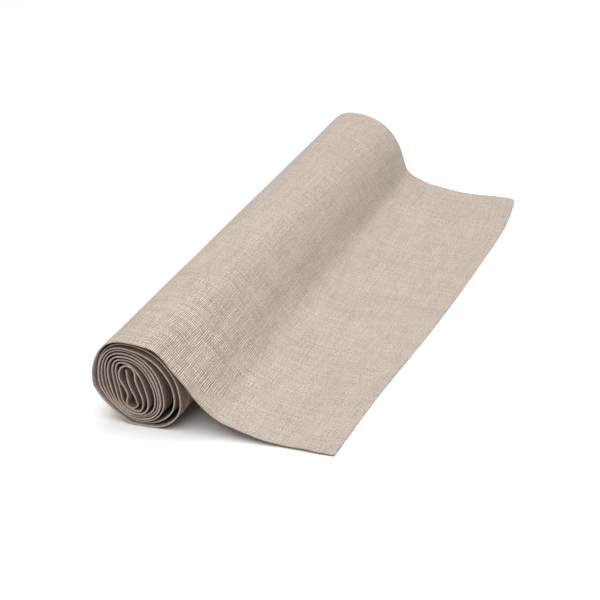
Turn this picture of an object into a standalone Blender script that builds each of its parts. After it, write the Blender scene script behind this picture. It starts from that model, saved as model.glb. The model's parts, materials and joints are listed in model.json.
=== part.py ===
"""Linen table runner, rolled up from one short end, with its last stretch lying out on the table.

Frame: +Z up, the table top is z = 0. Y runs across the runner, along the roll. X is the way the loose
flap runs out of the roll. x = 0 is the line where the roll touches the table, y = 0 is half way
along the roll.

The cloth follows one path in the XZ plane, given by a single number p:
  p from 0 to TURNS    the spiral, counted in turns from the free inner end to the crest of the roll
  p from TURNS to +1   the loose stretch, down the slope, over its foot and out to the hemmed end
The slope ends at its foot, where the cloth comes down to the table. What lies beyond is the flap,
which lifts about the foot.
The path differs a little between the near side (y < 0) and the far side (y > 0) and is blended in a
straight line between them. Every piece is a slab of the cloth between two values of p and of y.
"""
import math

import bpy
import numpy as np

# ---------------------------------------------------------------- driving dimensions, metres
MM = 0.001
RUNNER_WIDTH = 400 * MM       # across the cloth, along the roll
ROLL_HEIGHT = 65.7 * MM       # near side of the roll, from the table to its crest
FLAP_REACH = 153.5 * MM       # furthest x of the flap's end edge
CLOTH = 0.4 * MM              # one layer of linen
HEM_THICKNESS = 0.9 * MM      # the edge turned twice and pressed: three layers squeezed together
HEM_WIDTH = 12 * MM           # side hems and end hems alike
THREAD = 0.3 * MM             # sewing thread across
CLEARANCE = 0.3 * MM          # gap kept between pieces that touch
HINGE_GAP = 1.0 * MM          # gap where the flap's pieces meet the slope's pieces at its foot
END_FLAT = 24 * MM            # length of the flap's end that lies flat on the table

# ---------------------------------------------------------------- the roll's cross-section
# The lists below are in millimetres for a roll DRAWN_HEIGHT high and a flap that reaches DRAWN_REACH;
# SIZE turns them into metres at the roll's own height.
DRAWN_HEIGHT = 65.7
DRAWN_REACH = 153.5
SIZE = ROLL_HEIGHT / DRAWN_HEIGHT
TURNS = 9
CENTRE_X = -2.0               # the winding centre lies a little behind the line of contact
CENTRE_Z = 28.5               # and this high above the table, on the near side
# How far the cloth's outer face lies from the winding centre, each time it passes on that side,
# from the innermost pass to the outermost.
REACH_RIGHT = (0.9, 7.0, 12.3, 18.0, 20.7, 22.9, 25.1, 33.6, 38.2)
REACH_BELOW = (16.6, 18.1, 19.6, 21.1, 22.6, 24.1, 25.6, 27.2, 30.5)
REACH_LEFT = (5.9, 9.2, 12.0, 15.8, 19.3, 21.9, 23.6, 25.3, 28.1)
REACH_ABOVE = (14.6, 17.9, 20.2, 22.3, 24.7, 27.3, 29.9, 33.0, 35.4, 37.2)
CORE_SQUARENESS = 0.5         # the inner turns are flattened loops, the outer ones round
CORE_LEAN = -0.17             # the inner loops lean over, the outer ones stand straight
LEFT_SLANT = 1.42             # power of the lower left quarter of the outer turns, which sags straight
RIGHT_CORNER = 0.82           # power of the lower right quarter of the last turn, which sags square
FAR_SIDE_TALLER = 1.108       # the far side of the roll is less pressed down
FAR_SIDE_SHIFT = 1.8          # and stands this much further out

# ---------------------------------------------------------------- the loose stretch's cross-section
# Outer face from the crest (left out here, it is the spiral's last point) down to the table; the
# last points lie flat and are added from END_FLAT and the end edge. FOOT counts from the crest.
FOOT = 8
FLAP_NEAR = ((5.5, 65.4), (14.0, 64.2), (21.5, 61.8), (27.5, 56.4), (33.7, 47.9), (41.5, 37.9),
             (49.5, 25.8), (59.6, 15.4), (75.6, 8.9), (93.4, 3.5), (111.2, 1.2))
FLAP_FAR = ((6.5, 72.5), (14.0, 71.2), (23.0, 67.8), (31.7, 62.0), (38.4, 54.0), (43.0, 44.6),
            (46.0, 33.0), (50.0, 20.5), (62.5, 12.6), (82.5, 6.8), (104.5, 3.6))
# Where the end edge lies: share of the width from the near side, and x.
END_EDGE = ((0.0, 144.7), (0.15, 145.5), (0.45, 151.9), (0.68, 153.5), (0.88, 151.7), (1.0, 144.0))

# ---------------------------------------------------------------- fineness of the facets
STEPS_PER_TURN = 24
STEPS_PER_SPAN = 2            # between two points of the loose stretch
WIDTH_STEPS = 12

HALF = RUNNER_WIDTH / 2
THREAD_SLOT = THREAD + 2 * CLEARANCE
FIELD = HALF - HEM_WIDTH - THREAD_SLOT
LOOSE_SPANS = len(FLAP_NEAR) + 3          # from the crest through the list to three points lying flat
FOOT_PLACE = TURNS + FOOT / LOOSE_SPANS


# ---------------------------------------------------------------- the cloth's path
def through(points, at):
    """Smooth curve through 2-D points; at counts points, so 2.5 is half way from the third on."""
    points = np.asarray(points, float)
    chord = np.concatenate([[0.0], np.cumsum(np.hypot(*np.diff(points, axis=0).T))])
    slope = np.gradient(points, chord, axis=0)
    at = np.clip(np.atleast_1d(at), 0, len(points) - 1)
    left = np.minimum(at.astype(int), len(points) - 2)
    span = (chord[left + 1] - chord[left])[:, None]
    t = (at - left)[:, None]
    start, end = points[left], points[left + 1]
    pull = span * (t ** 3 - 2 * t ** 2 + t) * slope[left] + span * (t ** 3 - t ** 2) * slope[left + 1]
    return start * (1 + 2 * t) * (1 - t) ** 2 + end * t ** 2 * (3 - 2 * t) + pull


def spiral(turns, far):
    """Cloth's outer face in the roll: a loop whose four reaches grow with the turn count.

    Each quarter is a superellipse between two neighbouring reaches. far is 0 on the near side, 1 on
    the far side, where the same winding is taller and stands a little further out.
    """
    turns = np.atleast_1d(np.asarray(turns, float))
    passes = np.arange(TURNS)
    right = np.interp(turns, passes + 0.25, REACH_RIGHT)
    below = np.interp(turns, passes + 0.5, REACH_BELOW)
    left = np.interp(turns, passes + 0.75, REACH_LEFT)
    above = np.interp(turns, np.arange(TURNS + 1), REACH_ABOVE)
    inner = 1 - turns / TURNS
    across, up = np.sin(2 * math.pi * turns), np.cos(2 * math.pi * turns)
    power = 2 / (2 + CORE_SQUARENESS * inner)
    slant = power + (LEFT_SLANT - power) * np.clip((turns - 2) / 5.5, 0, 1)
    corner = power + (RIGHT_CORNER - power) * np.clip((turns - 8) / 0.25, 0, 1)
    power = np.where(up > 0, power, np.where(across < 0, slant, corner))
    x = np.where(across > 0, right, left) * np.sign(across) * np.abs(across) ** power
    z = np.where(up > 0, above, below) * np.sign(up) * np.abs(up) ** power
    x = CENTRE_X + x + CORE_LEAN * inner * z + FAR_SIDE_SHIFT * far
    z = (CENTRE_Z + z) * (1 + (FAR_SIDE_TALLER - 1) * far)
    line = np.stack([x, np.maximum(z, 0)], axis=1)     # the roll's weight presses its underside flat
    return line * SIZE


def crest(far):
    """The line on top of the roll where the flap leaves it: x and z on one side."""
    return spiral(TURNS, far)[0]


def stretch(drawn):
    """Drawn x on the flap as real x: the slope keeps to the roll's size, the end to FLAP_REACH."""
    outward = np.asarray(drawn, float) / DRAWN_REACH
    return (drawn + (FLAP_REACH / SIZE - DRAWN_REACH) * outward ** 2) * SIZE


def end_edge(share):
    """x of the flap's end edge at a share of the width, counted from the near side."""
    places = np.array(END_EDGE) * (DRAWN_REACH, 1)
    edge = through(places, np.linspace(0, len(places) - 1, 201))
    return stretch(np.interp(share * DRAWN_REACH, edge[:, 0], edge[:, 1]))


def flap(along, share):
    """Cloth's outer face past the crest at one width share; along runs from 0 there to 1."""
    edge = end_edge(share)
    flat = [(edge - back, HEM_THICKNESS) for back in (END_FLAT, HEM_WIDTH + THREAD_SLOT, 0)]
    sides = []
    for far, points in ((0, FLAP_NEAR), (1, FLAP_FAR)):
        drawn = np.array(points)
        real = np.column_stack([stretch(drawn[:, 0]), drawn[:, 1] * SIZE])
        sides.append(np.vstack([crest(far), real, flat]))
    line = through(sides[0] * (1 - share) + sides[1] * share, along * LOOSE_SPANS)
    return np.column_stack([line[:, 0], np.maximum(line[:, 1], HEM_THICKNESS)])


def path(p, y):
    """Outer face of the cloth at path values p and width place y, as x and z."""
    share = (y + HALF) / RUNNER_WIDTH
    p = np.asarray(p, float)
    rolled = spiral(np.minimum(p, TURNS), 0) * (1 - share) + spiral(np.minimum(p, TURNS), 1) * share
    loose = flap(p - TURNS, share)
    return np.where((p <= TURNS)[:, None], rolled, loose)


def inward(p, y):
    """Unit vector from the outer face into the cloth, at right angles to the path."""
    step = 1e-3
    ahead = path(np.minimum(p + step, TURNS + 1), y)
    behind = path(np.maximum(p - step, 0), y)
    run = ahead - behind
    run /= np.linalg.norm(run, axis=1)[:, None]
    return np.stack([run[:, 1], -run[:, 0]], axis=1)


def place_at(distance, start, direction):
    """Path value that lies a distance along the cloth from start, on the middle of the width."""
    tries = start + direction * np.linspace(0, 1, 2001)
    points = path(tries, 0.0)
    lengths = np.concatenate([[0.0], np.cumsum(np.hypot(*np.diff(points, axis=0).T))])
    return float(np.interp(distance, lengths, tries))


def stations(first, last):
    """Path values from first to last, with the roll's and the flap's own facet steps between."""
    rolled = np.arange(TURNS * STEPS_PER_TURN + 1) / STEPS_PER_TURN
    loose = TURNS + np.arange(1, LOOSE_SPANS * STEPS_PER_SPAN) / (LOOSE_SPANS * STEPS_PER_SPAN)
    steps = np.concatenate([rolled, loose])
    least = 0.15 / STEPS_PER_TURN
    inside = steps[(steps > first + least) & (steps < last - least)]
    return np.concatenate([[first], inside, [last]])


def columns(reach):
    """Width places from -reach to reach, with the panel's own facet steps between.

    Neighbouring pieces share these steps, so that their facets run alongside each other.
    """
    steps = np.linspace(-FIELD, FIELD, WIDTH_STEPS + 1)
    return steps if reach <= FIELD else np.concatenate([[-reach], steps, [reach]])


# ---------------------------------------------------------------- scene helpers
def clear_scene():
    for thing in list(bpy.data.objects):
        bpy.data.objects.remove(thing, do_unlink=True)


def make_material(name, colour, roughness):
    material = bpy.data.materials.new(name)
    material.use_nodes = True
    shader = material.node_tree.nodes["Principled BSDF"]
    shader.inputs["Base Color"].default_value = (*colour, 1)
    shader.inputs["Roughness"].default_value = roughness
    shader.inputs["Metallic"].default_value = 0
    return material


def make_empty(name, location):
    empty = bpy.data.objects.new(name, None)
    empty.location = location
    bpy.context.collection.objects.link(empty)
    return empty


def make_slab(name, p_values, y_values, thickness, lift, material, holder):
    """Closed slab of cloth or thread over a grid of path values and width places.

    lift is how far the slab's outer face lies under the cloth's outer face, thickness is counted
    from there inwards. The four rims are closed by strips of quads.
    """
    outer, inner = [], []
    for y in y_values:
        face, normal = path(p_values, y), inward(p_values, y)
        for grid, depth in ((outer, lift), (inner, lift + thickness)):
            points = face + normal * depth
            grid.append(np.column_stack([points[:, 0], np.full(len(points), y), points[:, 1]]))
    rows, cols = len(y_values), len(p_values)
    vertices = np.concatenate([np.array(outer).reshape(-1, 3), np.array(inner).reshape(-1, 3)])
    index = np.arange(rows * cols).reshape(rows, cols)
    under = index + rows * cols
    faces = []
    for r in range(rows - 1):
        for c in range(cols - 1):
            faces.append((index[r, c], index[r, c + 1], index[r + 1, c + 1], index[r + 1, c]))
            faces.append((under[r, c], under[r + 1, c], under[r + 1, c + 1], under[r, c + 1]))
    for c in range(cols - 1):
        faces.append((index[0, c], under[0, c], under[0, c + 1], index[0, c + 1]))
        faces.append((index[-1, c], index[-1, c + 1], under[-1, c + 1], under[-1, c]))
    for r in range(rows - 1):
        faces.append((index[r, 0], index[r + 1, 0], under[r + 1, 0], under[r, 0]))
        faces.append((index[r, -1], under[r, -1], under[r + 1, -1], index[r + 1, -1]))
    centre = np.array(holder.location)
    mesh = bpy.data.meshes.new(name)
    mesh.from_pydata((vertices - centre).tolist(), [], [[int(v) for v in f] for f in faces])
    mesh.shade_smooth()
    mesh.set_sharp_from_angle(angle=math.radians(40))
    mesh.materials.append(material)
    piece = bpy.data.objects.new(name, mesh)
    piece.parent = holder
    bpy.context.collection.objects.link(piece)
    return piece


# ---------------------------------------------------------------- the runner
def strip(side, inner_edge, outer_edge):
    """Width places of a strip along one side, from two distances to the cloth's edge."""
    return sorted([side * (HALF - inner_edge), side * (HALF - outer_edge)])


def main():
    clear_scene()
    linen = make_material("natural_linen", (0.55, 0.47, 0.39), 0.85)
    folded = make_material("folded_linen", (0.52, 0.44, 0.36), 0.85)
    thread = make_material("sewing_thread", (0.60, 0.52, 0.43), 0.6)

    foot_middle = path(np.array([FOOT_PLACE]), 0.0)[0]
    roll = make_empty("roll_rest", (0, 0, 0))
    flap_axis = make_empty("flap_lift_axis", (foot_middle[0], 0, foot_middle[1]))

    # cuts along the path: the hem folds, their stitching, the crest and the foot
    end = TURNS + 1
    inner_fold = place_at(HEM_WIDTH, 0, 1)
    inner_seam = [place_at(HEM_WIDTH + CLEARANCE + width, 0, 1) for width in (0, THREAD)]
    roll_start = place_at(HEM_WIDTH + THREAD_SLOT, 0, 1)
    crest_cuts = [place_at(CLEARANCE / 2, TURNS, way) for way in (-1, 1)]
    foot_cuts = [place_at(HINGE_GAP / 2, FOOT_PLACE, way) for way in (-1, 1)]
    flap_end = place_at(HEM_WIDTH + THREAD_SLOT, end, -1)
    outer_seam = [place_at(HEM_WIDTH + CLEARANCE + width, end, -1) for width in (THREAD, 0)]
    outer_fold = place_at(HEM_WIDTH, end, -1)

    roll_run = stations(roll_start, crest_cuts[0])
    slope_run = stations(crest_cuts[1], foot_cuts[0])
    flap_run = stations(foot_cuts[1], flap_end)
    rolled_seam = stations(roll_start, foot_cuts[0])
    straight = np.array([-1.0, 1.0])
    under = (CLOTH - THREAD) / 2              # the stitching runs in the middle of the cloth

    # the field of the cloth between the hems
    make_slab("roll_panel", roll_run, straight * FIELD, CLOTH, 0, linen, roll)
    make_slab("slope_panel", slope_run, columns(FIELD), CLOTH, 0, linen, roll)
    make_slab("flap_panel", flap_run, columns(FIELD), CLOTH, 0, linen, flap_axis)

    # the two end hems, each over the whole width, and their stitching
    make_slab("inner_end_hem", stations(0, inner_fold), columns(HALF), HEM_THICKNESS, 0, folded, roll)
    make_slab("inner_end_stitching", np.array(inner_seam), straight * (HALF - THREAD_SLOT), THREAD,
              under, thread, roll)
    make_slab("outer_end_hem", np.array([outer_fold, end]), columns(HALF), HEM_THICKNESS, 0, folded,
              flap_axis)
    make_slab("outer_end_stitching", np.array(outer_seam), columns(HALF - THREAD_SLOT), THREAD, under,
              thread, flap_axis)

    # the side hems, in stretches that part at the crest and at the foot, and their stitching
    for side, name in ((-1, "near_side"), (1, "far_side")):
        hem = strip(side, HEM_WIDTH, 0)
        seam = strip(side, HEM_WIDTH + CLEARANCE + THREAD, HEM_WIDTH + CLEARANCE)
        make_slab(name + "_hem_roll", roll_run, hem, HEM_THICKNESS, 0, folded, roll)
        make_slab(name + "_hem_slope", slope_run, hem, HEM_THICKNESS, 0, folded, roll)
        make_slab(name + "_hem_flap", flap_run, hem, HEM_THICKNESS, 0, folded, flap_axis)
        make_slab(name + "_stitching_roll", rolled_seam, seam, THREAD, under, thread, roll)
        make_slab(name + "_stitching_flap", flap_run, seam, THREAD, under, thread, flap_axis)


main()
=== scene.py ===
# %% [markdown]
# # A rolled linen table runner
# The real object is one length of natural linen, hemmed on all four sides and rolled up from one
# short end, with its last stretch left lying out on the table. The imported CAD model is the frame:
# it says how far the cloth reaches and which body each stretch of it moves with. Here the plain
# slabs of that model give way to one continuous sheet with its sewing on it.

# %% Load the frame
import json
import math

import bmesh
import bpy
import numpy as np
from mathutils import Matrix, Vector


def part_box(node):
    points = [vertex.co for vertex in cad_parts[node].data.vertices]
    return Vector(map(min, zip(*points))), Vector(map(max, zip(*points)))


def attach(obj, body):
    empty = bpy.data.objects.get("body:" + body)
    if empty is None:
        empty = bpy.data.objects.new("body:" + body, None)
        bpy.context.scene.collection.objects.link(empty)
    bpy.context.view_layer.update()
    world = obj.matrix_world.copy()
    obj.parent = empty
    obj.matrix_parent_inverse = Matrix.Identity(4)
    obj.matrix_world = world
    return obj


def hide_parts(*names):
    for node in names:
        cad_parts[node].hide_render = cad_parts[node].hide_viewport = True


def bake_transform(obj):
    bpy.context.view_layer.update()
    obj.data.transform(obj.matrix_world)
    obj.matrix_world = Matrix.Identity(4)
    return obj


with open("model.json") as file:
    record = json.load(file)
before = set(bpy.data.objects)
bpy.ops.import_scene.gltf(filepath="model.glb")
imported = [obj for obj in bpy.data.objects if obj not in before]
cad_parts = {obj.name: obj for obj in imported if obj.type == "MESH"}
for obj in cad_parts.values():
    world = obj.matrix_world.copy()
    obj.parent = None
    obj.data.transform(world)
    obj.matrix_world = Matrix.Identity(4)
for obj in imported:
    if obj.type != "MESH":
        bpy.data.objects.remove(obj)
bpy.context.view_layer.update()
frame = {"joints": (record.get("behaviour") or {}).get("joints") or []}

# %% [markdown]
# ## Sizes of the cloth
# A runner like this is cut from plain-woven linen of medium weight, under half a millimetre thick.
# Each edge is turned twice and pressed, so a hem is three layers squeezed together, and one row of
# lockstitch holds it just inside its fold. The width comes from the frame, and the rest is given
# here in millimetres, as a maker writes it down.

# %% Sizes of the cloth
MM = 0.001
low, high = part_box("outer_end_hem")
HALF = (high.y - low.y) / 2          # half the runner's width, in metres
CLOTH = 0.45 * MM                    # one layer of linen
HEM = 0.9 * MM                       # a pressed hem
HEM_WIDTH = 12 * MM
STITCH_LINE = 10.9 * MM              # from the edge to the row of stitches
STITCH = 3.0 * MM                    # length of one stitch
THREAD = 0.34 * MM                   # sewing thread across
print("runner width, mm:", round(2 * HALF / MM))

# %% [markdown]
# ## The line that the cloth follows
# Seen from its end, a rolled cloth is one line. It starts at the free inner end, winds outwards for
# nine turns to the crest of the roll, and then runs down a slope and out along the table. A drawn
# spline could follow it, but a rolled cloth isn't a clean spiral: its weight presses the lower turns
# together and leaves the upper ones loose. So each turn is given by how far it reaches to the right,
# below, to the left and above the winding centre, and a formula joins the four. One number, p, runs
# along the line: 0 to 9 counts the turns, and 9 to 10 is the loose stretch.

# %% Reaches of the turns and points of the loose stretch, mm
TURNS = 9
CENTRE = (-2.0, 28.5)                # winding centre on the near side, x and z
REACH_RIGHT = (0.9, 7.0, 12.3, 18.0, 20.7, 22.9, 25.1, 33.6, 38.2)
REACH_BELOW = (16.6, 18.1, 19.6, 21.1, 22.6, 24.1, 25.8, 27.5, 29.6)
REACH_LEFT = (5.9, 9.2, 12.0, 15.6, 19.0, 21.6, 23.9, 25.8, 28.3)
REACH_ABOVE = (14.6, 17.9, 20.2, 22.3, 24.7, 27.2, 29.4, 31.5, 33.5, 37.2)
FAR_TALLER = 0.108                   # the far side of the roll is less pressed down
FAR_SHIFT = 1.8                      # and stands this much further out
SLOPE_NEAR = ((5.5, 65.4), (14.0, 64.2), (21.5, 61.8), (27.5, 56.4), (33.7, 47.9), (41.5, 37.9),
              (49.5, 25.8), (59.6, 15.4), (75.6, 8.9), (93.4, 4.4), (111.2, 2.3))
SLOPE_FAR = ((6.5, 72.5), (14.0, 71.2), (23.0, 67.8), (31.7, 62.0), (38.4, 54.0), (43.0, 44.6),
             (46.0, 33.0), (50.0, 20.5), (62.5, 12.6), (82.5, 6.8), (104.5, 3.6))
END_EDGE = ((0.0, 144.7), (0.15, 145.5), (0.45, 151.9), (0.68, 153.5), (0.88, 152.2), (1.0, 145.8))
EDGE_SCALE = 150                     # mm for a share of 1, so that the end edge's curve is drawn evenly
END_FLAT = (24, 12.9, 0)             # the end lies flat from here: distances back from the end edge
NEAR_LIFT = (1.7, 1.3, 0.8)          # but both corners stay a little off the table at those places
FAR_LIFT = (2.2, 1.6, 0.9)
CORE = ((0.00, -2.1, 43.1), (0.07, -2.4, 36.1), (0.16, -1.6, 29.2), (0.28, 0.9, 20.5),
        (0.40, 1.0, 14.2), (0.50, -3.0, 12.0), (0.58, -6.6, 13.4), (0.63, -7.2, 17.0),
        (0.70, -5.2, 23.1), (0.77, -6.6, 28.5), (0.84, -9.0, 34.5), (0.90, -8.9, 40.1),
        (0.95, -5.9, 45.0), (1.00, -1.7, 46.6), (1.05, 2.2, 45.2), (1.10, 3.9, 41.9),
        (1.17, 3.8, 35.6), (1.26, 5.6, 26.8), (1.34, 6.9, 20.7), (1.42, 5.3, 14.1),
        (1.50, 1.0, 10.0), (1.60, -5.0, 9.4))   # p, x and z: the pinched loop in the middle
SPANS = len(SLOPE_NEAR) + len(END_FLAT)


# %% The line as a formula
def smooth(low, high, value):
    """0 below low, 1 above high and a soft S-curve between."""
    t = np.clip((value - low) / (high - low), 0, 1)
    return t * t * (3 - 2 * t)


def through(points, at):
    """Smooth curve through rows of points: between two points a cubic that passes each of them in
    the direction of its two spans, weighted by their lengths. at counts points."""
    span = np.linalg.norm(np.diff(points, axis=-2), axis=-1)[..., None]
    steep = np.diff(points, axis=-2) / span
    middle = span[..., :-1, :] * steep[..., 1:, :] + span[..., 1:, :] * steep[..., :-1, :]
    middle = middle / (span[..., :-1, :] + span[..., 1:, :])
    slope = np.concatenate([steep[..., :1, :], middle, steep[..., -1:, :]], axis=-2)
    left = np.clip(np.floor(at), 0, points.shape[-2] - 2).astype(int)
    t = np.clip(at - left, 0, 1)[:, None]
    start, finish = points[..., left, :], points[..., left + 1, :]
    pull = (t ** 3 - 2 * t ** 2 + t) * slope[..., left, :] + (t ** 3 - t ** 2) * slope[..., left + 1, :]
    return start * (1 + 2 * t) * (1 - t) ** 2 + finish * t ** 2 * (3 - 2 * t) + pull * span[..., left, :]


def spiral(turns, share):
    """Outer face of the rolled part in mm. Each quarter turn is a superellipse between two reaches:
    the inner turns are flattened and lean over, the lower left of the outer turns sags to a slant
    and the lower right of the last one to a corner. The first turn follows the points of the core.
    share is 0 at the near side and 1 at the far side, where every height grows by FAR_TALLER."""
    passes = np.arange(TURNS)
    right = np.interp(turns, passes + 0.25, REACH_RIGHT)
    below = np.interp(turns, passes + 0.5, REACH_BELOW)
    left = np.interp(turns, passes + 0.75, REACH_LEFT)
    above = np.interp(turns, np.arange(TURNS + 1), REACH_ABOVE)
    inner = 1 - turns / TURNS
    across, up = np.sin(2 * math.pi * turns), np.cos(2 * math.pi * turns)
    power = 2 / (2 + 0.5 * inner)
    slant = 0.72 + (1.42 - 0.72) * np.clip((turns - 1.5) / 6, 0, 1)
    corner = power + (0.82 - power) * np.clip((turns - 8) / 0.25, 0, 1)
    power = np.where(up > 0, power, np.where(across < 0, slant, corner))
    x = np.where(across > 0, right, left) * np.sign(across) * np.abs(across) ** power
    z = np.where(up > 0, above, below) * np.sign(up) * np.abs(up) ** power
    pushed = 3.2 * (1 - smooth(1.2, 6.5, turns)) * np.exp(-((z + 14) / 8) ** 2)
    pushed = pushed * (across < 0) * np.abs(across)
    wound = np.stack([CENTRE[0] + x - pushed - 0.17 * inner * z, CENTRE[1] + z], axis=-1)
    core = np.array(CORE)
    pinched = through(core[:, 1:], np.interp(turns, core[:, 0], np.arange(len(core))))
    own = smooth(1.2, 1.55, turns)[:, None]
    line = pinched * (1 - own) + wound * own
    x = line[:, 0] + FAR_SHIFT * share
    z = line[:, 1] * (1 + FAR_TALLER * share)
    z = 0.25 + (z - 0.25 + np.sqrt((z - 0.25) ** 2 + 0.09)) / 2   # the table presses the underside flat
    return np.stack(np.broadcast_arrays(x, z), axis=-1)


def loose(along, share):
    """Outer face past the crest in mm: the curve through the crest, the slope's points and three
    points lying flat on the table, each a straight blend from the near side to the far side."""
    edge_points = np.array(END_EDGE) * (EDGE_SCALE, 1)
    edge = through(edge_points, np.linspace(0, len(END_EDGE) - 1, 301))
    edge = np.interp(share * EDGE_SCALE, edge[:, 0], edge[:, 1])
    drawn = np.array(SLOPE_NEAR) * (1 - share[..., None]) + np.array(SLOPE_FAR) * share[..., None]
    lift = np.array(NEAR_LIFT) * np.exp(-share / 0.1) + np.array(FAR_LIFT) * np.exp((share - 1) / 0.1)
    flat = np.stack([edge - np.array(END_FLAT), HEM / MM + lift], axis=-1)
    knots = np.concatenate([spiral(np.array([TURNS]), share), drawn, flat], axis=1)
    line = through(knots, along * SPANS)
    return np.stack([line[..., 0], np.maximum(line[..., 1], HEM / MM)], axis=-1)


def path(p, y):
    """The cloth's outer face in metres: one row for each width place y, one column for each p."""
    share = ((y + HALF) / (2 * HALF))[:, None]
    rolled = spiral(np.minimum(p, TURNS), share)
    return np.where((p <= TURNS)[None, :, None], rolled, loose(p - TURNS, share)) * MM


fine_p = np.linspace(0, TURNS + 1, 20001)
steps = np.linalg.norm(np.diff(path(fine_p, np.zeros(1))[0], axis=0), axis=1)
fine_length = np.concatenate([[0], np.cumsum(steps)])
LENGTH = fine_length[-1]


def length_to(p):
    """Cloth from the inner end to p, along the middle of the width, in metres."""
    return float(np.interp(p, fine_p, fine_length))


print("length of the cloth unrolled, mm:", round(LENGTH / MM))

# %% [markdown]
# ## Small unevenness
# Hand-rolled linen never ends in one plane. The outermost turn stands a few millimetres proud of
# the ones inside it, the turn under it has slipped in furthest, and every edge wavers a little. The
# loose stretch keeps shallow waves from having been rolled. These are added as smooth waves, small
# enough that the cloth still has the length and width that it was cut to.


# %% Slipped turns, wavering edges and shallow waves
def slip(p):
    """How far a turn has slipped inwards along the roll, in metres."""
    body = 0.8 * (1 - smooth(7.9, 8.5, p)) + 0.5 * np.sin(4.4 * p) * (1 - smooth(7, 8, p))
    under_the_last = 2.0 * smooth(7.4, 7.7, p) * (1 - smooth(8.1, 8.3, p))
    last = 0.9 * smooth(8.6, 8.8, p) * (1 - smooth(9.05, 9.3, p))
    return (body + under_the_last - last) * MM


def waver(length, side):
    """Sideways wandering of an edge, in metres: three waves of unlike lengths."""
    phase = 1.7 * side
    return 0.22 * MM * (np.sin(length / (9 * MM) + phase) + 0.8 * np.sin(length / (23 * MM) + 2 * phase)
                        + 0.5 * np.sin(length / (4.3 * MM) + 3 * phase))


def swell(p, length, y):
    """Shallow waves standing out of the cloth's outer face, in metres: they begin shortly before the
    crest and are gone where the end lies flat."""
    waves = (0.5 * np.sin(y / (31 * MM) + 0.9) * np.sin(length / (40 * MM) + y / (120 * MM))
             + 0.35 * np.sin(y / (17 * MM) - length / (55 * MM)) + 0.85)
    place = smooth(8.75, 9.05, p) * (1 - smooth(9.72, 9.86, p))
    return 0.42 * MM * waves * place


# %% [markdown]
# ## The cloth itself
# One closed mesh stands for the whole runner, because the real one is a single piece of cloth: the
# field, the folded hems and the rounded edges run into each other without a joint. It is a grid over
# p and the width, doubled into an outer and an inner face. Solidify could give the thickness, but
# then the hems couldn't be thicker than the field and the edges would be square, so both faces are
# worked out here: they lie half a thickness each side of the middle of the cloth, and that half
# follows a quarter circle down to nothing at every edge, where the two faces share their vertices.

# %% Grid lines, crowded together at the edges and folds
EDGE_LINES = np.array([0, 0.05, 0.16, 0.32, 0.5, 1.4, 3.5, 7, 9.6, 10.4, 10.9, 11.4, 11.8, 12.3, 13.2]) * MM
to_middle = np.concatenate([EDGE_LINES, np.array([17, 23, 31, 42, 55, 70, 87, 106, 128, 152, 176]) * MM])
columns = np.concatenate([to_middle - HALF, [0], HALF - to_middle[::-1]])
start_p = np.interp(EDGE_LINES, fine_length, fine_p)
end_p = np.interp(LENGTH - EDGE_LINES[::-1], fine_length, fine_p)
turn_p = np.arange(1, TURNS * 72) / 72
loose_p = TURNS + np.arange(0, 126) / 126
between = np.concatenate([turn_p, loose_p])
between = between[(between > start_p[-1] + 0.01) & (between < end_p[0] - 0.004)]
rows = np.concatenate([start_p, between, end_p])
print("grid:", len(columns), "by", len(rows))


# %% Faces of the cloth
FOLD = 0.3 * MM                      # the hem thins into the field over this much each side of its fold
GROOVE, GROOVE_WIDTH = 0.06 * MM, 0.45 * MM      # pressed in by the row of stitches
CORNER_REACH, CORNER_PULL = 2.5 * MM, 1.4 * MM   # the far outer corner is rounded by being pulled in


def inward(p, y):
    """Unit vector from the outer face into the cloth: the line's own direction turned by a right
    angle, in the XZ plane."""
    run = path(np.minimum(p + 2e-3, TURNS + 1), y) - path(np.maximum(p - 2e-3, 0), y)
    run = run / np.linalg.norm(run, axis=-1)[..., None]
    return np.stack([run[..., 1], -run[..., 0]], axis=-1)


def cloth_point(p, y, depth):
    """Points of the runner: the line's outer face, pushed in by depth and out by the swell, with
    the width place moved by the slip and, near the two sides, by the wavering of the edge."""
    length = np.interp(p, fine_p, fine_length)[None, :]
    side = np.sign(y)[:, None]
    near_edge = np.exp(-(HALF - np.abs(y)) / (15 * MM))[:, None]
    flat = path(p, y) + inward(p, y) * (depth - swell(p[None, :], length, y[:, None]))[..., None]
    width_place = y[:, None] + slip(p)[None, :] + near_edge * waver(length, side)
    points = np.stack([flat[..., 0], width_place, flat[..., 1]], axis=-1)
    corner = np.exp(-(HALF - y) / CORNER_REACH)[:, None] * np.exp(-(LENGTH - length) / CORNER_REACH)
    return points - corner[..., None] * np.array([CORNER_PULL, CORNER_PULL, 0])


def edge_distance(p, y):
    """Distance to the nearest of the runner's four edges, along the cloth."""
    length = np.interp(p, fine_p, fine_length)[None, :]
    return np.minimum(np.minimum(length, LENGTH - length), HALF - np.abs(y)[:, None])


def groove(distance):
    """How much thinner the hem is along its row of stitches."""
    return GROOVE * np.exp(-((distance - STITCH_LINE) / GROOVE_WIDTH) ** 2)


def thickness(distance):
    """Thick in the hem and thin in the field, less the groove."""
    field = smooth(HEM_WIDTH - FOLD, HEM_WIDTH + FOLD, distance)
    return HEM + (CLOTH - HEM) * field - groove(distance)


distance = edge_distance(rows, columns)
thick = thickness(distance)
radius = thick / 2
half = np.sqrt(np.maximum(radius ** 2 - np.maximum(radius - distance, 0) ** 2, 0))
groove_depth = groove(distance) / 2  # on each face
outer_face = cloth_point(rows, columns, groove_depth + radius - half)
inner_face = cloth_point(rows, columns, groove_depth + radius + half)


# %% Into one mesh
def quads(index):
    """Four-cornered faces of a grid of vertex numbers, wound along the rows first."""
    return np.stack([index[:-1, :-1], index[:-1, 1:], index[1:, 1:], index[1:, :-1]], axis=-1).reshape(-1, 4)


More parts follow.
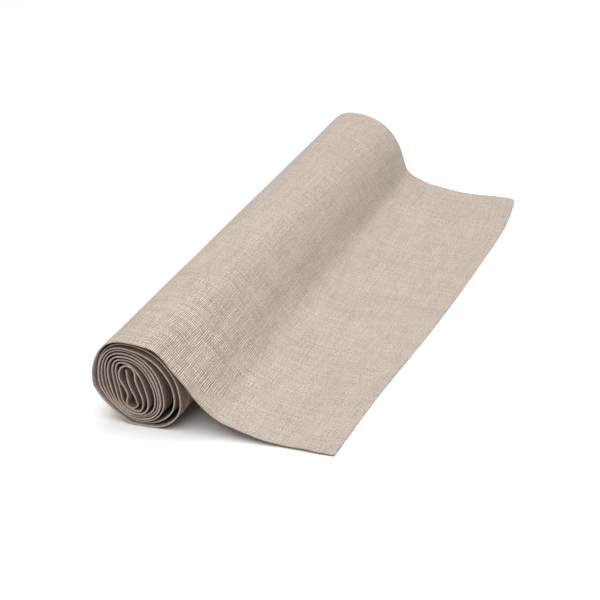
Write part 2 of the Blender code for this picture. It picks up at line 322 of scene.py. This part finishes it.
def make_mesh(name, points, faces, uv, material):
    """Smooth mesh object at the origin, with its own UV map measured in metres of cloth."""
    mesh = bpy.data.meshes.new(name)
    mesh.from_pydata(points.tolist(), [], faces.tolist())
    corners = np.zeros(len(mesh.loops), int)
    mesh.loops.foreach_get("vertex_index", corners)
    mesh.uv_layers.new(name="cloth").data.foreach_set("uv", uv[corners].ravel().astype(np.float32))
    mesh.shade_smooth()
    mesh.materials.append(material)
    mesh.validate()
    piece = bpy.data.objects.new(name, mesh)
    bpy.context.scene.collection.objects.link(piece)
    print(name, "triangles:", sum(len(f.vertices) - 2 for f in mesh.polygons))
    return piece


outer_index = np.arange(outer_face.shape[0] * outer_face.shape[1]).reshape(outer_face.shape[:2])
inner_index = outer_index.copy()
inside = (outer_index.shape[0] - 2, outer_index.shape[1] - 2)
inner_index[1:-1, 1:-1] = outer_index.size + np.arange(inside[0] * inside[1]).reshape(inside)
cloth_vertices = np.concatenate([outer_face.reshape(-1, 3), inner_face[1:-1, 1:-1].reshape(-1, 3)])
cloth_faces = np.concatenate([quads(outer_index), quads(inner_index)[:, ::-1]])
grid_uv = np.stack(np.meshgrid(np.interp(rows, fine_p, fine_length), columns), axis=-1)
cloth_uv = np.concatenate([grid_uv.reshape(-1, 2), grid_uv[1:-1, 1:-1].reshape(-1, 2)])


# %% [markdown]
# ## Natural linen, plain weave
# Unbleached flax yarn is spun unevenly, so every thread has its own tone and swells into slubs here
# and there, and the loom sets it one over, one under. The surface is matt with a faint fuzz. Colour
# and height both come from two sine waves, one across the warp and one across the weft: their
# product is above zero exactly where a warp thread passes over, so it draws the over and under with
# no image. The pattern reads the UV map, which is in metres of flat cloth, so it turns with the
# cloth round the roll.

# %% Colours and nodes
def linear(hex_colour):
    """An sRGB hex colour as linear RGB with full alpha."""
    srgb = np.array([int(hex_colour[i:i + 2], 16) for i in (1, 3, 5)]) / 255
    return (*np.where(srgb <= 0.04045, srgb / 12.92, ((srgb + 0.055) / 1.055) ** 2.4), 1.0)


def add(tree, kind, links=None, **settings):
    """A node with its settings, and its inputs by name or number: a socket is linked, a value is set."""
    node = tree.nodes.new("ShaderNode" + kind)
    for key, value in settings.items():
        setattr(node, key, value)
    for key, value in (links or {}).items():
        if isinstance(value, bpy.types.NodeSocket):
            tree.links.new(value, node.inputs[key])
        else:
            node.inputs[key].default_value = value
    return node


def calc(tree, operation, *values):
    """The output of a Math node with these inputs."""
    return add(tree, "Math", dict(enumerate(values)), operation=operation).outputs[0]


def new_material(name):
    """An empty material and its shader."""
    material = bpy.data.materials.new(name)
    material.use_nodes = True
    return material, material.node_tree, material.node_tree.nodes["Principled BSDF"]


# %% Woven linen
# The real threads lie about 0.7 mm apart. They are drawn twice as coarse, so that they show.
WARP_PITCH = 1.6 * MM                # between threads that run along the runner
WEFT_PITCH = 1.36 * MM               # between threads that run across it
linen, tree, shader = new_material("natural_linen_plain_woven")
place = add(tree, "UVMap", uv_map="cloth").outputs[0]
parts = add(tree, "SeparateXYZ", {0: place})
along_cloth, across_cloth = parts.outputs[0], parts.outputs[1]
wander = add(tree, "TexNoise", {"Vector": place, "Scale": 60.0, "Detail": 1.0})
drift = calc(tree, "MULTIPLY_ADD", wander.outputs[0], 3.2, -1.6)


def stretched_noise(across, along, seed, detail):
    """Noise that changes quickly across the threads and slowly along them."""
    lookup = add(tree, "CombineXYZ", {0: across, 1: along, 2: seed}).outputs[0]
    settings = {"Vector": lookup, "Scale": 1.0, "Detail": detail, "Roughness": 0.6}
    return add(tree, "TexNoise", settings).outputs[0]


def crowding(across, along, seed):
    """Uneven spacing of straight threads: up to half a thread's shift to either side."""
    across, along = calc(tree, "MULTIPLY", across, 230.0), calc(tree, "MULTIPLY", along, 22.0)
    return calc(tree, "MULTIPLY_ADD", stretched_noise(across, along, seed, 2.0), 4.0, drift)


warp_drift = crowding(across_cloth, along_cloth, 11.0)
weft_drift = crowding(along_cloth, across_cloth, 23.0)
warp_phase = calc(tree, "MULTIPLY_ADD", across_cloth, math.pi / WARP_PITCH, warp_drift)
weft_phase = calc(tree, "MULTIPLY_ADD", along_cloth, math.pi / WEFT_PITCH, weft_drift)
warp_wave, weft_wave = calc(tree, "SINE", warp_phase), calc(tree, "SINE", weft_phase)
over = calc(tree, "MULTIPLY", warp_wave, weft_wave)
warp_height = calc(tree, "ADD", calc(tree, "ABSOLUTE", warp_wave), over)
weft_height = calc(tree, "SUBTRACT", calc(tree, "ABSOLUTE", weft_wave), over)
weave_height = calc(tree, "MAXIMUM", warp_height, weft_height)
warp_on_top = calc(tree, "GREATER_THAN", over, 0.0)


# %% Tone of each thread
def thread_tone(phase, along, seed):
    """A tone of its own for every thread, drifting slowly along it: noise read at the thread's
    number one way and at a stretched length the other way."""
    number = calc(tree, "FLOOR", calc(tree, "DIVIDE", phase, math.pi))
    number, along = calc(tree, "MULTIPLY", number, 3.7), calc(tree, "MULTIPLY", along, 38.0)
    return calc(tree, "MULTIPLY_ADD", stretched_noise(number, along, seed, 3.0), 1.2, -0.1)


warp_tone = thread_tone(warp_phase, along_cloth, 0.0)
weft_tone = thread_tone(weft_phase, across_cloth, 40.0)
tone = add(tree, "Mix", {0: warp_on_top, 2: weft_tone, 3: warp_tone}).outputs[0]
patches = add(tree, "TexNoise", {"Vector": place, "Scale": 26.0, "Detail": 3.0}).outputs[0]
fibres = add(tree, "TexNoise", {"Vector": place, "Scale": 700.0, "Detail": 2.0}).outputs[0]
shade = calc(tree, "MULTIPLY_ADD", patches, 0.1, calc(tree, "MULTIPLY_ADD", fibres, 0.7, -0.4))

# %% [markdown]
# Where the cloth was pressed or rolled tight the threads lie close and the weave hardly shows. Where
# it hangs slack, on the slope and most of all near one side, it opens in patches.

# %% Where the weave lies open
PRESSED = 0.28                       # how much of the open weave still shows where it is tight


def fade(value, start, finish, before=0.0, after=1.0):
    """A soft change from before to after while the value goes from start to finish."""
    return add(tree, "MapRange", {0: value, 1: start, 2: finish, 3: before, 4: after},
               interpolation_type="SMOOTHSTEP").outputs[0]


slack_side = fade(across_cloth, -0.2, -0.04, 1.0, PRESSED)
pressed_end = fade(along_cloth, length_to(9.4), length_to(9.65), 1.0, PRESSED)
tight_roll = fade(along_cloth, length_to(9.03), length_to(9.2), PRESSED, 1.0)
slack = calc(tree, "MINIMUM", slack_side, calc(tree, "MINIMUM", pressed_end, tight_roll))
calm = calc(tree, "MULTIPLY_ADD", slack, 0.6, 0.4)
shade = calc(tree, "ADD", calc(tree, "MULTIPLY_ADD", calc(tree, "SUBTRACT", tone, 0.5), calm, 0.5), shade)
yarn = add(tree, "ValToRGB", {0: shade})
yarn.color_ramp.elements[0].position, yarn.color_ramp.elements[0].color = 0.25, linear("#A59588")
yarn.color_ramp.elements[1].position, yarn.color_ramp.elements[1].color = 0.75, linear("#D8CABF")
open_weave = add(tree, "TexNoise", {"Vector": place, "Scale": 75.0, "Detail": 2.0}).outputs[1]
open_weave = add(tree, "SeparateXYZ", {0: open_weave})


def painted_furrow_shade(wave, patch, depth):
    """Painted shade in the furrows beside one set of threads and painted light on their crowns: zero on the
    average, strong in patches.
    """
    strength = add(tree, "MapRange", {0: patch, 1: 0.38, 2: 0.62, 3: 0.1, 4: depth}).outputs[0]
    return calc(tree, "MULTIPLY", strength, calc(tree, "SUBTRACT", 0.637, calc(tree, "ABSOLUTE", wave)))


# Painted shade between the threads: darker where the weave lies low and in its open furrows.
weave_shade = calc(tree, "ADD", painted_furrow_shade(weft_wave, open_weave.outputs[0], 1.1),
            painted_furrow_shade(warp_wave, open_weave.outputs[1], 0.9))
low_weave_shade = calc(tree, "SUBTRACT", 0.8, calc(tree, "MINIMUM", weave_height, 1.0))
weave_shade = calc(tree, "MULTIPLY_ADD", low_weave_shade, 0.35, weave_shade)
weave_shade_factor = calc(tree, "SUBTRACT", 0.78, calc(tree, "MULTIPLY", weave_shade, slack))
yarn_with_weave_shade = add(tree, "VectorMath", {0: yarn.outputs[0], "Scale": weave_shade_factor}, operation="SCALE").outputs[0]

# %% [markdown]
# Painted shade: inside the roll the cloth is painted browner and darker, except at the lit rims.

# %% Colour and surface of the linen
# Painted shade inside the roll: inner turns darkened by #C4B3A7, the lit rims at both sides kept out.
painted_roll_shade = fade(along_cloth, length_to(8.3), length_to(8.62))
rims_kept_light = add(tree, "MapRange", {0: calc(tree, "ABSOLUTE", across_cloth),
                                1: HALF - 1.2 * MM, 2: HALF - 0.4 * MM}).outputs[0]
painted_roll_shade = calc(tree, "MAXIMUM", painted_roll_shade, rims_kept_light)
painted_shade_colour_in_roll = add(tree, "Mix", {0: 1.0, 6: yarn_with_weave_shade, 7: linear("#C4B3A7")}, data_type="RGBA",
                 blend_type="MULTIPLY").outputs[2]
painted_roll_shade = add(tree, "Mix", {0: painted_roll_shade, 6: painted_shade_colour_in_roll, 7: yarn_with_weave_shade}, data_type="RGBA").outputs[2]
tree.links.new(painted_roll_shade, shader.inputs["Base Color"])
relief = calc(tree, "MULTIPLY_ADD", tone, 0.8, calc(tree, "MULTIPLY", weave_height, slack))
bump = add(tree, "Bump", {"Strength": 0.55, "Distance": 0.2 * MM, "Height": relief})
tree.links.new(bump.outputs[0], shader.inputs["Normal"])
shader.inputs["Roughness"].default_value = 0.9
shader.inputs["Specular IOR Level"].default_value = 0.25
shader.inputs["Sheen Weight"].default_value = 0.12
shader.inputs["Sheen Roughness"].default_value = 0.5

# %% The runner's cloth
across_foot = Vector(frame["joints"][0]["axis"]).cross(Vector((0, 0, 1)))
across_foot = across_foot.normalized() * (1 if across_foot.x > 0 else -1)
runner_cloth = make_mesh("runner_cloth", cloth_vertices, cloth_faces, cloth_uv, linen)
cloth_nodes = ["roll_panel", "slope_panel", "flap_panel", "inner_end_hem", "outer_end_hem"]
cloth_nodes += [f"{side}_hem_{part}" for side in ("near_side", "far_side")
                for part in ("roll", "slope", "flap")]


def bends_with_flap(piece):
    """Bakes the piece's placement into its mesh."""
    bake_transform(piece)


bends_with_flap(runner_cloth)
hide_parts(*cloth_nodes)

# %% [markdown]
# ## Sewing thread
# The hems are held by one row of lockstitch in a thread of nearly the cloth's own colour. Each
# stitch lies on the surface for three millimetres and dives into the cloth at both ends. A row is
# one thin tube that follows the cloth at a fixed distance from the edge and dips once a stitch.

# %% Twisted sewing thread
sewing, tree, shader = new_material("cotton_sewing_thread_twisted")
place = add(tree, "UVMap", uv_map="cloth").outputs[0]
ply = add(tree, "TexWave", {"Vector": place, "Scale": 0.3 / (0.6 * MM), "Distortion": 1.0},
          bands_direction="DIAGONAL").outputs[1]
twist = add(tree, "ValToRGB", {0: ply})
twist.color_ramp.elements[0].color = linear("#AFA18F")
twist.color_ramp.elements[1].color = linear("#D9CCBC")
tree.links.new(twist.outputs[0], shader.inputs["Base Color"])
shader.inputs["Roughness"].default_value = 0.7
shader.inputs["Sheen Weight"].default_value = 0.15


# %% Rows of stitches
SIDES = 6                            # corners round the thread
STITCH_PARTS = 6                     # places along one stitch
ROW_END = 14 * MM                    # a row starts and ends this far from the corners of the cloth


def stitch_dip(length):
    """Height of the thread's middle over the cloth: a little above it along a stitch and well
    inside it at the holes, one hole every STITCH."""
    hole = np.abs((length / STITCH) % 1 - 0.5) * 2
    return 0.05 * MM - 0.35 * MM * smooth(0.72, 1.0, hole)


def thread_tube(name, middle, out, side, length):
    """Open tube round a line: rings of points at the thread's radius, placed along out and side by
    cosine and sine."""
    angle = np.arange(SIDES) / SIDES * 2 * math.pi
    ring = np.cos(angle)[None, :, None] * out[:, None] + np.sin(angle)[None, :, None] * side[:, None]
    points = (middle[:, None] + ring * THREAD / 2).reshape(-1, 3)
    number = np.arange(len(points)).reshape(-1, SIDES)
    number = np.concatenate([number, number[:, :1]], axis=1)
    uv = np.column_stack([np.repeat(length, SIDES), np.tile(angle, len(length)) * THREAD / 2])
    return make_mesh(name, points, quads(number)[:, ::-1], uv, sewing)


def close_ends(piece):
    """Fills the two open ends of a tube with flat faces and turns every face outwards."""
    work = bmesh.new()
    work.from_mesh(piece.data)
    bmesh.ops.holes_fill(work, edges=[e for e in work.edges if e.is_boundary], sides=SIDES)
    bmesh.ops.recalc_face_normals(work, faces=work.faces)
    work.to_mesh(piece.data)
    work.free()


def side_row(name, side):
    """A row of stitches along one side hem, from the inner end to the outer one."""
    length = np.arange(ROW_END, LENGTH - ROW_END, STITCH / STITCH_PARTS)
    p, y = np.interp(length, fine_length, fine_p), np.array([side * (HALF - STITCH_LINE)])
    normal = inward(p, y)[0]
    out = np.stack([-normal[:, 0], np.zeros(len(p)), -normal[:, 1]], axis=1)
    middle = cloth_point(p, y, np.zeros((1, len(p))))[0] + out * stitch_dip(length)[:, None]
    across = np.tile([0.0, 1.0, 0.0], (len(p), 1))
    return thread_tube(name, middle, out, across, length)


def end_row(name, from_end):
    """A row of stitches across one end hem."""
    y = np.arange(-HALF + ROW_END, HALF - ROW_END, STITCH / STITCH_PARTS)
    at = STITCH_LINE if from_end == "inner" else LENGTH - STITCH_LINE
    p = np.interp([at], fine_length, fine_p)
    normal = inward(p, y)[:, 0]
    out = np.stack([-normal[:, 0], np.zeros(len(y)), -normal[:, 1]], axis=1)
    middle = cloth_point(p, y, np.zeros((len(y), 1)))[:, 0] + out * stitch_dip(y)[:, None]
    along = np.stack([-out[:, 2], np.zeros(len(y)), out[:, 0]], axis=1)
    return thread_tube(name, middle, out, along, y)


for side, name in ((-1, "near_side"), (1, "far_side")):
    row = side_row(name + "_stitching", side)
    close_ends(row)
    bends_with_flap(row)
    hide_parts(name + "_stitching_roll", name + "_stitching_flap")
for end, body in (("inner", "roll"), ("outer", "flap")):
    row = end_row(end + "_end_row_of_stitches", end)
    close_ends(row)
    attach(row, body)
    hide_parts(end + "_end_stitching")

# %% [markdown]
# ## The table and the light
# A pale table top fills the view. One very large soft lamp hangs over it, so the top of the roll and
# the flap are bright, the slope between them falls into a half shade and shadows have no edge. The
# room is pale at the height of the table and dark above, which keeps the hollows of the roll dark.

# %% Table top
table, tree, shader = new_material("white_paper_backdrop")
shader.inputs["Base Color"].default_value = linear("#EEEEED")
shader.inputs["Roughness"].default_value = 0.9
bpy.ops.mesh.primitive_plane_add(size=8, location=(0, 0, 0))
table_top = bpy.context.object
table_top.name = "table_top"
table_top.data.materials.append(table)

# %% Light
world = bpy.data.worlds.new("white_room")
bpy.context.scene.world = world
world.use_nodes = True
background = world.node_tree.nodes["Background"]
background.inputs["Color"].default_value = linear("#FFFFFF")
direction = add(world.node_tree, "TexCoord").outputs["Generated"]
height = add(world.node_tree, "SeparateXYZ", {0: direction}).outputs[2]
brightness = add(world.node_tree, "MapRange", {0: height, 1: 0.02, 2: 0.3, 3: 0.75, 4: 0.05}).outputs[0]
world.node_tree.links.new(brightness, background.inputs["Strength"])


def soft_lamp(name, place, target, size, power):
    """A square area lamp that faces the target."""
    lamp = bpy.data.lights.new(name, "AREA")
    lamp.size, lamp.energy = size, power
    holder = bpy.data.objects.new(name, lamp)
    holder.location = place
    holder.rotation_euler = (Vector(target) - Vector(place)).to_track_quat("-Z", "Y").to_euler()
    bpy.context.scene.collection.objects.link(holder)
    return holder


soft_lamp("overhead_softbox", (0.38, -0.35, 2.6), (0.2, -0.2, 0), 4.2, 173)

# %% Camera
YAW, PITCH, ROLL = math.radians(27.248), math.radians(27.480), math.radians(-7.006)
camera = bpy.data.objects.new("camera", bpy.data.cameras.new("camera"))
camera.data.sensor_width, camera.data.lens = 36, 85.885
camera.matrix_world = (Matrix.Translation((0.48504, -0.88201, 0.51114)) @ Matrix.Rotation(YAW, 4, "Z")
                       @ Matrix.Rotation(math.pi / 2 - PITCH, 4, "X") @ Matrix.Rotation(ROLL, 4, "Z"))
bpy.context.scene.collection.objects.link(camera)
bpy.context.scene.camera = camera
bpy.context.scene.view_settings.view_transform = "Standard"
